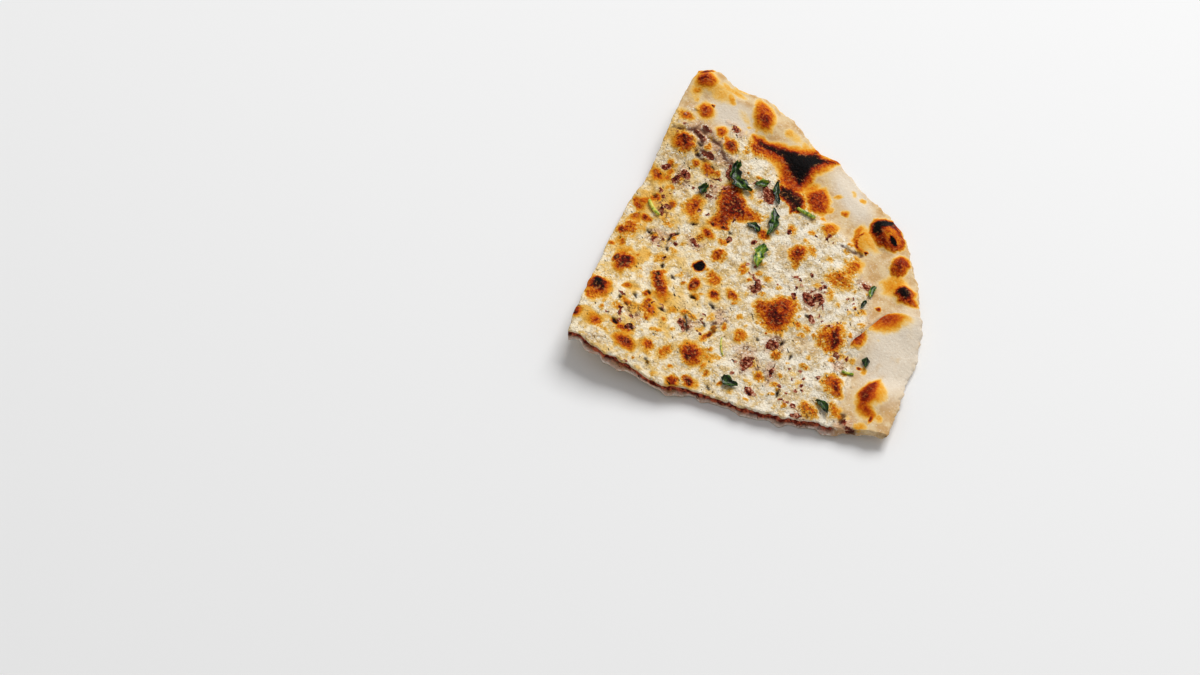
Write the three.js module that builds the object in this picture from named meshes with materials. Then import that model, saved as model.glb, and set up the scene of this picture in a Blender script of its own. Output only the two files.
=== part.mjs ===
// A quarter of a round stuffed paratha: a baked flatbread with a minced filling, cut by two knife
// strokes that meet in the middle of the whole bread, with chopped coriander on its upper face.
//
// Units are millimetres and +Z is up. The bread lies on its underside with the cut tip towards -Y
// and the round rim towards +Y. The origin is the middle of the base of the bread's box.
//
// The bread baked as one piece, so it is one solid. Each bit of coriander is a solid of its own.
// A place on the bread is given by two shares: along, from 0 at the cut tip to 1 at the rim, and
// across, from -1 on the left cut to 1 on the right cut. Places stay on the bread at any size.
import * as THREE from 'three';

const { clamp, degToRad, lerp, smoothstep } = THREE.MathUtils;

// The bread's driving dimensions.
const RIM_REACH = 132; // from the cut tip, the middle of the whole bread, to its rim
const WEDGE_ANGLE = 87.6; // between the two cuts, in degrees
const FILLED_THICKNESS = 4.6; // where the dough holds filling
const MARGIN_THICKNESS = 2.8; // where it is dough alone, along the rim
const RIM_THICKNESS = 1.8; // at the very edge
const MARGIN_WIDTH = 22; // of the band without filling
const FILLING_STARTS = 0.6; // share of MARGIN_WIDTH where the bread begins to thicken
const FILLING_FULL = 1.4; // share of MARGIN_WIDTH where it is at its full thickness
const RIM_TAPER = 6; // width of the strip that thins towards the edge
const RIM_ROUND = 0.7; // how far the rim's edge bulges halfway up its height
const LEFT_CUT_BULGE = 3; // each cut runs this far outside a straight line
const RIGHT_CUT_BULGE = 6.5;
const CUT_BULGE_POWER = 0.6; // below 1 puts the widest place of a cut nearer the tip

// The bread has dried a little and curls up where it is cut to a point.
const TIP_LIFT = 8;
const TIP_LIFT_REACH = 60;
const LEFT_CORNER_LIFT = 9;
const LEFT_CORNER_LIFT_REACH = 60;
const RIGHT_CORNER_LIFT = 3;
const RIGHT_CORNER_LIFT_REACH = 40;

// The rim wanders in and out: [across, millimetres beyond RIM_REACH].
const RIM_SHAPE = [
  [-1, 1], [-0.95, 4.2], [-0.82, 0.8], [-0.71, 4], [-0.59, 3.4], [-0.44, -0.6], [-0.34, 1.6],
  [-0.2, 0.6], [0.05, 4.2], [0.23, 1.6], [0.46, -1], [0.62, -3.7], [0.75, -8], [1, -9.8],
];

// Air pockets that rose while it baked: { along, across, radius, height }.
const BLISTERS = [
  { along: 0.955, across: 0.04, radius: 10, height: 2.6 },
  { along: 0.97, across: 0.192, radius: 6, height: 1.5 },
  { along: 0.963, across: 0.32, radius: 7, height: 1.6 },
  { along: 0.93, across: -0.424, radius: 13, height: 1.6 },
  { along: 0.868, across: -0.228, radius: 9, height: 1.2 },
  { along: 0.939, across: -0.675, radius: 10, height: 1.6 },
  { along: 0.952, across: -0.949, radius: 8, height: 1.4 },
  { along: 0.932, across: 0.587, radius: 17, height: 2.2 },
  { along: 0.92, across: 0.839, radius: 11, height: 2 },
  { along: 0.754, across: 0.52, radius: 9, height: 0.9 },
  { along: 0.597, across: 0.353, radius: 12, height: 1.2 },
  { along: 0.665, across: -0.473, radius: 13, height: 1.2 },
  { along: 0.74, across: -0.907, radius: 8, height: 0.8 },
  { along: 0.367, across: 0.739, radius: 8, height: 0.8 },
  { along: 0.315, across: -0.283, radius: 9, height: 0.8 },
];

// The chopped coriander. Heading is the direction of its length, in degrees from +X, and bend is
// how far its ends curve sideways. A leaf narrows to its ends and a stem keeps its width.
const LEAF_THICKNESS = 0.4;
const STEM_THICKNESS = 0.9;
const HERB_CLEARANCE = 0.5; // between the herb and the bread under it
const LEAF_END_WIDTH = 0.25; // share of the full width
const STEM_END_WIDTH = 0.8;
const HERBS = [
  { name: 'coriander_leaf_1', along: 0.741, across: -0.56, heading: -6, length: 14, width: 4.5, bend: 4 },
  { name: 'coriander_leaf_2', along: 0.786, across: -0.467, heading: 70, length: 5, width: 3, bend: 0.5 },
  { name: 'coriander_leaf_3', along: 0.788, across: -0.38, heading: -25, length: 11, width: 2.6, bend: 0.8 },
  { name: 'coriander_leaf_4', along: 0.715, across: -0.243, heading: -37, length: 13, width: 3, bend: -1.5 },
  { name: 'coriander_leaf_5', along: 0.656, across: -0.284, heading: 25, length: 6, width: 2.6, bend: -0.8 },
  { name: 'coriander_leaf_6', along: 0.609, across: -0.096, heading: -42, length: 10.5, width: 4, bend: 0.8 },
  { name: 'coriander_leaf_7', along: 0.637, across: -0.673, heading: -60, length: 5, width: 3.4, bend: 0.5 },
  { name: 'coriander_leaf_8', along: 0.871, across: 0.284, heading: -48, length: 5.5, width: 2.2, bend: 0.4 },
  { name: 'coriander_leaf_9', along: 0.843, across: 0.35, heading: -60, length: 3.8, width: 1.9, bend: 0.3 },
  { name: 'coriander_leaf_10', along: 0.863, across: 0.658, heading: -35, length: 3.8, width: 2.4, bend: 0.3 },
  { name: 'coriander_leaf_11', along: 0.505, across: 0.948, heading: 30, length: 6.5, width: 3.4, bend: 0.8 },
  { name: 'coriander_leaf_12', along: 0.793, across: 0.951, heading: 10, length: 7, width: 2.6, bend: -0.8 },
  { name: 'coriander_stem_1', along: 0.811, across: -0.204, heading: 33, length: 7.8, width: 2, bend: 0.5 },
  { name: 'coriander_stem_2', along: 0.514, across: -0.87, heading: 3, length: 8, width: 1.7, bend: 0.5 },
  { name: 'coriander_stem_3', along: 0.834, across: 0.729, heading: 58, length: 4.5, width: 1.5, bend: 0.4 },
  { name: 'coriander_stem_4', along: 0.44, across: 0.605, heading: -22, length: 8, width: 1, bend: 0.6 },
];

// Mesh fineness.
const BREAD_CELLS = 28;
const WALL_LAYERS = 2;
const HERB_CELLS = 6;

const breadMaterial = new THREE.MeshStandardMaterial({ color: '#dccba9', roughness: 0.6, metalness: 0 });
const leafMaterial = new THREE.MeshStandardMaterial({ color: '#2f5a24', roughness: 0.5, metalness: 0 });
const stemMaterial = new THREE.MeshStandardMaterial({ color: '#7f9c3a', roughness: 0.5, metalness: 0 });

// How far the rim is from the cut tip, eased from each point of RIM_SHAPE to the next.
function rimReach(across) {
  const share = clamp(across, -1, 1);
  const next = Math.max(1, RIM_SHAPE.findIndex(([end]) => share <= end));
  const [startAcross, startOffset] = RIM_SHAPE[next - 1];
  const [endAcross, endOffset] = RIM_SHAPE[next];
  return RIM_REACH + lerp(startOffset, endOffset, smoothstep(share, startAcross, endAcross));
}

// Sideways bulge of the cuts: widest near the tip, nothing at the tip and at the rim.
function cutBulge(along, across) {
  const swell = Math.sin(Math.PI * along ** CUT_BULGE_POWER) * across ** 2;
  return across > 0 ? RIGHT_CUT_BULGE * swell : -LEFT_CUT_BULGE * swell;
}

// The plan point at a place, before and after the cuts' bulge.
function placeInPlan(along, across, beyond = 0) {
  const bearing = degToRad(across * WEDGE_ANGLE / 2);
  const reach = along * rimReach(across) + beyond;
  return new THREE.Vector2(reach * Math.sin(bearing), reach * Math.cos(bearing));
}

function edgeInPlan(along, across, beyond) {
  const bearing = degToRad(across * WEDGE_ANGLE / 2);
  const sideways = new THREE.Vector2(Math.cos(bearing), -Math.sin(bearing));
  return placeInPlan(along, across, beyond).addScaledVector(sideways, cutBulge(along, across));
}

// A smooth mound that is one high in its middle and ends at its radius.
function mound(point, middle, radius) {
  const share = Math.min(1, point.distanceTo(middle) / radius);
  return (1 - share ** 2) ** 2;
}

function fade(distance, reach) {
  return 1 - smoothstep(distance, 0, reach);
}

const TIP = placeInPlan(0, 0);
const LEFT_CORNER = placeInPlan(1, -1);
const RIGHT_CORNER = placeInPlan(1, 1);

// The underside is flat at zero, except where the tip and the corners curl up.
function undersideHeight(point) {
  return TIP_LIFT * fade(point.distanceTo(TIP), TIP_LIFT_REACH)
    + LEFT_CORNER_LIFT * fade(point.distanceTo(LEFT_CORNER), LEFT_CORNER_LIFT_REACH)
    + RIGHT_CORNER_LIFT * fade(point.distanceTo(RIGHT_CORNER), RIGHT_CORNER_LIFT_REACH);
}

function thicknessAt(point) {
  const across = Math.atan2(point.x, point.y) / degToRad(WEDGE_ANGLE / 2);
  const toRim = rimReach(across) - point.length();
  const filled = smoothstep(toRim, MARGIN_WIDTH * FILLING_STARTS, MARGIN_WIDTH * FILLING_FULL);
  const dough = lerp(RIM_THICKNESS, MARGIN_THICKNESS, smoothstep(toRim, 0, RIM_TAPER));
  return lerp(dough, FILLED_THICKNESS, filled);
}

function topHeight(point) {
  const raised = BLISTERS.map(({ along, across, radius, height }) =>
    height * mound(point, placeInPlan(along, across), radius));
  return undersideHeight(point) + thicknessAt(point) + Math.max(0, ...raised);
}

// Turns the diagonals of one side of a box, so that they run as on the opposite side.
function turnDiagonals(geometry, side) {
  const { start, count } = geometry.groups[side];
  const index = geometry.index;
  for (let i = start; i < start + count; i += 6) {
    const [a, b, d, c] = [0, 1, 2, 4].map((step) => index.getX(i + step));
    [a, b, c, a, c, d].forEach((corner, step) => index.setX(i + step, corner));
  }
}

// A box is bent into the wedge. Its four upright sides become, in turn, half of the rim, the left
// cut, the other half of the rim and the right cut, so the tip is one of its upright edges.
function makeBread() {
  const underside = 5;
  const geometry = new THREE.BoxGeometry(1, 1, 1, BREAD_CELLS, BREAD_CELLS, WALL_LAYERS);
  turnDiagonals(geometry, underside);
  const position = geometry.attributes.position;
  for (let i = 0; i < position.count; i += 1) {
    const right = Math.round((position.getX(i) + 0.5) * BREAD_CELLS) / BREAD_CELLS;
    const left = Math.round((position.getY(i) + 0.5) * BREAD_CELLS) / BREAD_CELLS;
    const up = Math.round((position.getZ(i) + 0.5) * WALL_LAYERS) / WALL_LAYERS;
    const along = Math.max(right, left);
    const across = along === 0 ? 0 : (right - left) / along;
    const beyond = along === 1 ? RIM_ROUND * Math.sin(Math.PI * up) : 0;
    const inside = edgeInPlan(along, across, 0);
    const point = edgeInPlan(along, across, beyond);
    position.setXYZ(i, point.x, point.y, lerp(undersideHeight(inside), topHeight(inside), up));
  }
  geometry.computeVertexNormals();
  const bread = new THREE.Mesh(geometry, breadMaterial);
  bread.name = 'paratha_quarter';
  return bread;
}

// A flat bit of herb that follows the bread's upper face under it.
function makeHerb({ name, along, across, heading, length, width, bend }) {
  const isStem = name.includes('stem');
  const thickness = isStem ? STEM_THICKNESS : LEAF_THICKNESS;
  const endWidth = isStem ? STEM_END_WIDTH : LEAF_END_WIDTH;
  const middle = placeInPlan(along, across);
  const turn = degToRad(heading);
  const geometry = new THREE.BoxGeometry(1, 1, 1, HERB_CELLS, 2, 1);
  const position = geometry.attributes.position;
  for (let i = 0; i < position.count; i += 1) {
    const share = Math.round((position.getX(i) + 0.5) * HERB_CELLS) / HERB_CELLS;
    const fullness = lerp(endWidth, 1, Math.sin(Math.PI * share));
    const local = new THREE.Vector2(
      (share - 0.5) * length,
      position.getY(i) * width * fullness + bend * ((2 * share - 1) ** 2 - 0.5),
    );
    const under = local.clone().rotateAround(new THREE.Vector2(), turn).add(middle);
    const height = topHeight(under) - topHeight(middle) + (position.getZ(i) + 0.5) * thickness;
    position.setXYZ(i, local.x, local.y, height);
  }
  geometry.computeVertexNormals();
  const herb = new THREE.Mesh(geometry, isStem ? stemMaterial : leafMaterial);
  herb.name = name;
  herb.position.set(middle.x, middle.y, topHeight(middle) + HERB_CLEARANCE);
  herb.rotation.z = turn;
  return herb;
}

const bread = makeBread();
const paratha = new THREE.Group();
paratha.add(bread, ...HERBS.map(makeHerb));

const middle = new THREE.Box3().setFromObject(bread).getCenter(new THREE.Vector3());
paratha.position.set(-middle.x, -middle.y, 0);

export default paratha;
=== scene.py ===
# %% [markdown]
# # A quarter of a stuffed paratha
#
# A paratha is an unleavened flatbread, rolled with a filling of spiced mince inside and baked on a
# hot griddle. This script gives a plain CAD wedge of it the look of the real bread. The wedge keeps
# the size and place of the CAD solid, and everything here rides on the CAD body "root", because
# nothing in a piece of bread moves by itself.

import math

import bmesh
import bpy
import numpy as np
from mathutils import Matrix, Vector


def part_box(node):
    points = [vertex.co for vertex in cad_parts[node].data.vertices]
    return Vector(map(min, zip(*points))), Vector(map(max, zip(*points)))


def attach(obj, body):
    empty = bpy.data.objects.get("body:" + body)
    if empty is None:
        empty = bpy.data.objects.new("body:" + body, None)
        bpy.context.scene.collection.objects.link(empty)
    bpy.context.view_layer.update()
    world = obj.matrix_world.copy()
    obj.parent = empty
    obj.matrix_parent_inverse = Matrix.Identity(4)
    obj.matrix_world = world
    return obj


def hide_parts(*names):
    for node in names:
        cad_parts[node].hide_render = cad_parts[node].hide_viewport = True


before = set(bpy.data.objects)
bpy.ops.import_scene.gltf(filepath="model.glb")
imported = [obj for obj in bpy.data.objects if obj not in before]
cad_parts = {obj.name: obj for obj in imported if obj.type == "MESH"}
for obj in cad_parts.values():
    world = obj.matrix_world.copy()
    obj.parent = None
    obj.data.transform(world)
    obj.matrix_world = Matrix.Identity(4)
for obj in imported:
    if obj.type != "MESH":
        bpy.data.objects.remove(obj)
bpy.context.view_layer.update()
print("CAD nodes:", len(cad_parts))

# %% [markdown]
# ## Units and where the bread lies
#
# Blender works in metres here, and a cook thinks in millimetres. All places on the bread are given
# in millimetres from its cut tip, with y towards the rim and x to the right. One function turns
# such places into the frame's metres. The tip is found in the CAD solid itself: it is the vertex
# that lies furthest towards -Y.

# %% From millimetres on the bread to metres in the frame
MM = 0.001
BREAD = "paratha_quarter"
bread_low, bread_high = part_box(BREAD)
tip_vertex = min(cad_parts[BREAD].data.vertices, key=lambda vertex: vertex.co.y)
TIP = np.array([tip_vertex.co.x, bread_low.y, 0.0])


def to_frame(places):
    """Millimetres from the cut tip, as rows of x, y and z, to metres in the frame."""
    return TIP + np.asarray(places) * MM


def from_frame(point):
    """The x and y of a point in the frame, in millimetres from the cut tip."""
    return ((np.array(point) - TIP) / MM)[:2]


print("cut tip at", TIP.round(4))

# %% [markdown]
# ## Camera
#
# The bread is seen from its right cut, from well above, through a longer lens, which keeps the
# wedge's two sides nearly as long as they are. The camera is aimed at a point beside the bread, so
# that the bread stands in the upper right of the picture.

# %% Place the camera
CAMERA_AZIMUTH = math.radians(66)
CAMERA_ELEVATION = math.radians(56)
CAMERA_DISTANCE = 1055
LENS = 85
AIM = np.array([0.2, 12.8, 0.0])

towards_camera = np.array([
    math.sin(CAMERA_AZIMUTH) * math.cos(CAMERA_ELEVATION),
    -math.cos(CAMERA_AZIMUTH) * math.cos(CAMERA_ELEVATION),
    math.sin(CAMERA_ELEVATION),
])
camera_data = bpy.data.cameras.new("camera")
camera_data.lens = LENS
camera = bpy.data.objects.new("camera", camera_data)
camera.location = Vector(to_frame(AIM + CAMERA_DISTANCE * towards_camera))
camera.rotation_euler = Vector(towards_camera).to_track_quat("Z", "Y").to_euler()
bpy.context.scene.collection.objects.link(camera)
bpy.context.scene.camera = camera
print("camera at", [round(value, 3) for value in camera.location])

# %% [markdown]
# ## Smooth randomness
#
# Hand-rolled dough has no straight line and no even colour. Two small tools give that: `ease`
# turns a ramp into a soft step, and `wander` gives numbers that change smoothly from place to
# place. A table of random numbers is drawn once from a fixed seed, so each run is the same.

# %% Ease and wander
LATTICE = 256


def ease(share):
    """A soft step: 0 below 0, 1 above 1, and smooth between them."""
    share = np.clip(share, 0, 1)
    return share * share * (3 - 2 * share)


def wander(plan, size, seed):
    """Numbers from -1 to 1 that change over about size millimetres from place to place."""
    table = np.random.default_rng(seed).uniform(-1, 1, (LATTICE, LATTICE))
    cell = plan / size + LATTICE / 2
    corner = np.floor(cell).astype(int)
    part = ease(cell - corner)
    left, low = (corner % LATTICE).T
    right, high = ((corner + 1) % LATTICE).T
    low_row = table[left, low] * (1 - part[:, 0]) + table[right, low] * part[:, 0]
    high_row = table[left, high] * (1 - part[:, 0]) + table[right, high] * part[:, 0]
    return low_row * (1 - part[:, 1]) + high_row * part[:, 1]


def bent(plan, amount, seed):
    """Plan places pushed about, so that shapes drawn on them get uneven outlines."""
    shift = np.stack([wander(plan, 3.2, seed), wander(plan, 3.2, seed + 1)], axis=1)
    fine = np.stack([wander(plan, 1.1, seed + 2), wander(plan, 1.1, seed + 3)], axis=1)
    return plan + amount * (shift + 0.6 * fine)


def layered(plan, layers):
    """The sum of some layers of wander, each given as height, size and seed."""
    return sum(height * wander(plan, size, seed) for height, size, seed in layers)


def along_points(points, share):
    """A smooth curve through given points of (share, value)."""
    shares, values = np.array(points).T
    after = np.clip(np.searchsorted(shares, share), 1, len(shares) - 1)
    before = after - 1
    part = ease((share - shares[before]) / (shares[after] - shares[before]))
    return values[before] + (values[after] - values[before]) * part


print("wander at the tip:", wander(np.zeros((1, 2)), 5.0, 1).round(3))

# %% [markdown]
# ## The wedge's outline
#
# The bread was rolled by hand, so its rim runs in and out by a few millimetres around a circle, and
# the knife pushed the soft dough sideways, so the two cuts bulge. A place on the bread is two
# shares: along, from 0 at the tip to 1 at the rim, and across, from -1 on the left cut to 1 on the
# right cut. The same shares and sizes shape the CAD solid.

# %% Outline of the rim and the two cuts
RIM_REACH = 132
HALF_ANGLE = math.radians(43.8)
RIM_SHAPE = [
    (-1, 1), (-0.95, 4.2), (-0.82, 0.8), (-0.71, 4), (-0.59, 3.4), (-0.44, -0.6), (-0.34, 1.6),
    (-0.2, 0.6), (0.05, 4.2), (0.23, 1.6), (0.46, -1), (0.62, -3.7), (0.75, -8), (1, -9.8),
]
LEFT_CUT = [(0, 0), (0.06, 1.1), (0.25, 2.3), (0.38, 3.4), (0.5, 3.2), (0.62, 1), (0.9, 1.3), (1, 0)]
RIGHT_CUT = [
    (0, 0), (0.15, 4.2), (0.31, 7.4), (0.38, 5.2), (0.5, 4.9), (0.57, 5.6), (0.7, 4.6), (0.86, 2.4),
    (1, 0),
]


def rim_reach(across):
    """How far the rim is from the tip, in millimetres."""
    return RIM_REACH + along_points(RIM_SHAPE, np.clip(across, -1, 1))


def place(along, across, beyond=0.0):
    """The plan point at two shares, in millimetres; beyond moves it outwards from the tip."""
    bearing = across * HALF_ANGLE
    outwards = np.stack([np.sin(bearing), np.cos(bearing)], axis=-1)
    sideways = np.stack([np.cos(bearing), -np.sin(bearing)], axis=-1)
    bulge = np.where(across > 0, along_points(RIGHT_CUT, along), -along_points(LEFT_CUT, along))
    reach = along * rim_reach(across) + beyond
    return outwards * reach[..., None] + sideways * (bulge * across**2)[..., None]


corners = place(np.array([1.0, 1.0]), np.array([-1.0, 1.0]))
print("rim corners at", corners.round(1).tolist())

# %% [markdown]
# ## Heights
#
# The middle of the bread lies flat. The tip and the two rim corners dried first and curl up. Over
# the filling the bread is thickest, and the band of plain dough along the rim is thin. On top of
# that come the blisters, where steam lifted the skin: low round mounds, and one long fold at the
# right whose left side is a sharp crest.

# %% Underside, thickness and blisters
FILLED_THICKNESS = 4.6
MARGIN_THICKNESS = 2.8
RIM_THICKNESS = 1.8
RIM_TAPER = 6
MARGIN_WIDTH = 22
FILLING_STARTS = 0.8 * MARGIN_WIDTH
FILLING_FADE = 5
FILLING_EDGE = [(2.5, 14.0, 12), (1.0, 4.0, 13)]
UNFILLED_CORNER = 11
CURLED_UP = [((0, 0), 8, 60), (tuple(corners[0]), 9, 60), (tuple(corners[1]), 3, 40)]
RIM_WAVE = 1.3
RIM_WAVE_WIDTH = 18

BLISTERS = [
    # x, y, length, width, heading, height
    (4, 130.5, 19, 14, 0, 3.2), (3, 121.5, 16, 11, -20, 1.3), (18.5, 128, 11, 8, -55, 1.8),
    (31, 124, 13, 11, -20, 1.9), (-38, 115, 24, 17, 30, 1.7), (-20.5, 113, 17, 14, -25, 1.3),
    (-62, 111, 19, 13, -12, 1.8), (-86, 97, 15, 12, 0, 1.4), (-73, 91, 13, 10, -30, 0.9),
    (-64, 77.3, 14, 13, 0, 1.1), (-63, 92.7, 9, 8, 0, 0.7), (-55.8, 93.2, 9, 9, 0, 0.8),
    (-31.5, 82, 21, 18, 10, 1.2), (-0.5, 95.5, 15, 14, -40, 1.0), (15, 107.5, 14, 19, 20, 0.9),
    (21.3, 76, 22, 19, -20, 1.2), (38.3, 90.5, 17, 17, -40, 1.1), (58, 80.3, 15, 10, -8, 1.0),
    (68.5, 91, 21, 15, -35, 2.2), (63.7, 67.3, 14, 11, 25, 1.0), (24.4, 38.5, 13, 14, -30, 1.0),
    (-8.5, 41, 19, 10, -12, 0.9), (-23.3, 33, 14, 11, -35, 0.9), (-15.5, 18.8, 14, 12, -20, 0.9),
    (-38, 41.5, 17, 13, -70, 0.9), (-7, 111.5, 12, 11, -60, 0.7), (-23, 67.5, 9, 7, 10, 0.6),
    (-12.8, 68, 8, 8, -60, 0.5), (24, 59, 10, 8, -15, 0.5), (-4.4, 53.5, 9, 7, -50, 0.6),
    (6, 64.5, 10, 7, 8, 0.5), (-49.7, 81.3, 11, 7, 10, 0.6), (66, 75.3, 10, 7, -30, 0.7),
]


def ring(plan, x, y, length, width, heading):
    """How far points are from the middle of an ellipse: 1 is on its outline."""
    turn = math.radians(heading)
    from_middle = plan - np.array([x, y])
    lengthwise = from_middle @ np.array([math.cos(turn), math.sin(turn)]) / (length / 2)
    sideways = from_middle @ np.array([-math.sin(turn), math.cos(turn)]) / (width / 2)
    return np.hypot(lengthwise, sideways)


def strongest(plan, ellipses, core, fade):
    """The strongest of some soft ellipses: its level within core, 0 from core + fade outwards."""
    most = np.zeros(len(plan))
    for *ellipse, level in ellipses:
        most = np.maximum(most, level * (1 - ease((ring(plan, *ellipse) - core) / fade)))
    return most


def across_share(plan):
    return np.arctan2(plan[:, 0], plan[:, 1]) / HALF_ANGLE


def distance_to_rim(plan):
    return rim_reach(across_share(plan)) - np.hypot(*plan.T)


def underside_height(plan):
    """Zero in the middle; the curled tip and corners and the wavy rim stand above it."""
    height = np.zeros(len(plan))
    for middle, lift, reach in CURLED_UP:
        height += lift * (1 - ease(np.hypot(*(plan - middle).T) / reach))
    near_rim = 1 - ease(distance_to_rim(plan) / RIM_WAVE_WIDTH)
    bearing = np.stack([across_share(plan) * 100, np.zeros(len(plan))], axis=1)
    return height + RIM_WAVE * near_rim * (0.5 + 0.5 * wander(bearing, 9.0, 11))


def filled_share(plan):
    """1 where the dough holds filling, 0 in the plain band along the rim."""
    corner = strongest(plan, [(-60, 86, 34, 20, 20, UNFILLED_CORNER)], 0.4, 0.8)
    edge = distance_to_rim(plan) + layered(plan, FILLING_EDGE)
    return ease((edge - corner - FILLING_STARTS) / FILLING_FADE)


print("blisters:", len(BLISTERS))

# %% [markdown]
# ## Creases
#
# At the right the unfilled dough folded over itself and rose as one smooth flap, which starts at a
# sharp crest and is raised by how far it lies behind it. At the left, and in a few other places,
# the skin wrinkled. Over the filling it was stretched until small slits opened. The crest and the
# wrinkles are lines of a few points, and the slits are narrow ellipses.

# %% Lines across the dough
FLAP_CREST = np.array([
    (42.5, 122.5), (39.8, 119.4), (37.9, 116.4), (37.1, 113.4), (37.5, 110.2), (39.1, 106), (41, 101),
    (42.5, 96.5), (45.5, 92.8), (51, 89),
])
FLAP_HEIGHT = 2.8
CREST_WIDTH = 1.1
FLAP_END = 13
FLAP_TOP = 3
FLAP_SLOPE = 20
WRINKLES = [
    [(-72, 76), (-70, 80), (-68.5, 83), (-69, 86)], [(-67, 83.5), (-64, 84.7), (-61, 84.2)],
    [(-69, 85.5), (-66, 86.5), (-63, 88), (-58, 89.2), (-52, 89.6), (-48, 90.3)],
    [(-62, 83), (-60, 81.8), (-59, 80)], [(-58.5, 82.5), (-55, 84.5), (-53, 85)],
    [(-67, 87.5), (-64.5, 88.7), (-62, 88)], [(-57, 79.5), (-54, 81.5), (-50, 83)],
    [(70, 78.5), (72.5, 76.6), (75.5, 76.4), (79, 78.6)], [(1.5, 112), (5.5, 114.5), (8.5, 117)],
    [(14.5, 53.5), (17.5, 51), (19, 48)], [(-9, 8), (-7, 4), (-3, 1.5)],
]
SLITS = [
    # x, y, length, heading
    (1, 50.5, 3, 30), (-6.5, 35.5, 2.6, -5), (2.6, 36.8, 3, 20), (-6.2, 29.9, 3, -5),
    (-3.6, 25.4, 1.8, 10), (-7.5, 24.3, 2.2, -20), (2, 17.8, 3.4, 5), (22, 21.6, 2.6, -5),
    (8.6, 43.6, 2.2, -25), (11.3, 42.8, 4, -25), (14, 41.7, 2.4, -30), (14, 49, 1.8, 0),
    (7.5, 55.2, 2.6, 20), (39, 38.3, 2.2, 5), (27.8, 64.6, 1.6, 0), (39.7, 72, 2.4, -50),
    (33, 72, 2.6, -70), (-27.6, 54, 3.4, -60), (-23.5, 51, 2.4, -5), (-16.5, 46, 2.6, -20),
    (-33.5, 48.5, 3.4, 20), (-10.5, 47.5, 2.4, 10), (-61, 82.4, 2.4, 30), (-57.2, 80, 2, 40),
    (7, 22.4, 2.4, 20), (-28.5, 57.5, 2, 80), (26, 86, 3, 10), (-48, 57.2, 2, 10),
    (-30.2, 65.6, 2.6, 70), (52.5, 60.5, 3, -40), (-20.3, 76, 1.8, 30),
]
WRINKLE_CORE = 0.45
WRINKLE_FADE = 0.7
SLIT_WIDTH = 1.45
SLIT_FRAY = 0.8


def offset_from(plan, start, end):
    """Where points lie, seen from the nearest place on a straight line between two points."""
    step = end - start
    share = np.clip((plan - start) @ step / (step @ step), 0, 1)
    return plan - (start + share[:, None] * step)


def line_distance(plan, line):
    """Distance to a line of points, and on which side of it: 1 is its right, -1 its left."""
    nearest = np.full(len(plan), np.inf)
    side = np.zeros(len(plan))
    for start, end in zip(line, line[1:]):
        step = end - start
        offset = offset_from(plan, start, end)
        distance = np.hypot(*offset.T)
        closer = distance < nearest
        nearest = np.where(closer, distance, nearest)
        side = np.where(closer, np.sign(step[1] * offset[:, 0] - step[0] * offset[:, 1]), side)
    return nearest, side


def flap_height(plan):
    """Height of the smooth flap, steep at its crest, and how far points lie behind the crest."""
    distance, side = line_distance(plan, FLAP_CREST)
    behind = -distance * side
    last_step = FLAP_CREST[-1] - FLAP_CREST[-4]
    before_end = (FLAP_CREST[-1] - plan) @ last_step / np.hypot(*last_step)
    rise = ease((behind + 0.4) / CREST_WIDTH) * ease(before_end / FLAP_END)
    return FLAP_HEIGHT * rise * (1 - ease((behind - FLAP_TOP) / FLAP_SLOPE)), behind


def floured_share(plan):
    """1 where the skin is whitest: over the filling, on the flap and along the torn rim."""
    flap = 1.3 - ring(plan, 55, 109, 42, 25, -48)
    rim = 1.2 - ring(plan, -18, 127, 34, 12, -3)
    corner = 1.1 - ring(plan, -68, 100, 26, 15, 40)
    white = 1.6 * np.maximum(np.maximum(flap, rim), corner)
    return np.clip(np.maximum(filled_share(plan), white), 0, 1)


def wrinkle_depth(plan):
    """1 in the middle of a wrinkle; parts of each wrinkle fade away."""
    waving = bent(plan, 0.8, 26)
    nearest = np.min([line_distance(waving, np.array(line))[0] for line in WRINKLES], axis=0)
    depth = 1 - ease((nearest - WRINKLE_CORE) / WRINKLE_FADE)
    return depth * np.clip(1 + 0.9 * wander(plan, 2.0, 25), 0, 1)


def slit_depth(plan):
    """1 in the dark slits where the stretched skin opened."""
    opened = [(x, y, length + SLIT_FRAY, SLIT_WIDTH, heading, 1) for x, y, length, heading in SLITS]
    return strongest(bent(plan, 0.35, 27), opened, 0.55, 0.6)


def crest_shadow(plan):
    """A thin line of shade at the foot of the flap's crest."""
    beside = 1 - ease(np.abs(flap_height(plan)[1] + 0.7) / 0.9)
    return beside * ease((flap_height(plan + np.array([2.0, 0.5]))[0] - 0.8) / 1.2)


print("lines:", 1 + len(WRINKLES))

# %% [markdown]
# ## The upper face
#
# The upper face adds all of this up: underside, thickness, blisters, flap, wrinkles, and a lumpy
# skin over the filling. The skin's lumps are a few millimetres wide, like the mince below it. Many
# of them, two to five millimetres wide and scattered from a seed, touched the griddle and turned
# golden on top.

# %% Height of the upper face
SMALL_SPOTS = 260
THICKENING_STARTS = 13
THICKENING_WIDTH = 18
SKIN_STEP = 0.35
SKIN_LUMPS = [(0.35, 5.5, 21), (0.28, 2.6, 22), (0.14, 1.3, 23)]
PLAIN_LUMPS = [(0.25, 11.0, 24)]
WRINKLE_RELIEF = 0.35
BLISTER_RELIEF = 1.3


def scattered(count, seed, low=0.12, high=0.9, crowding=2.0):
    """Random places inside the wedge; a crowding below 2 puts more of them near the tip."""
    draws = np.random.default_rng(seed)
    along = draws.uniform(low**crowding, high**crowding, count) ** (1 / crowding)
    across = draws.uniform(-0.97, 0.97, count)
    return place(along, across), draws


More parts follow.
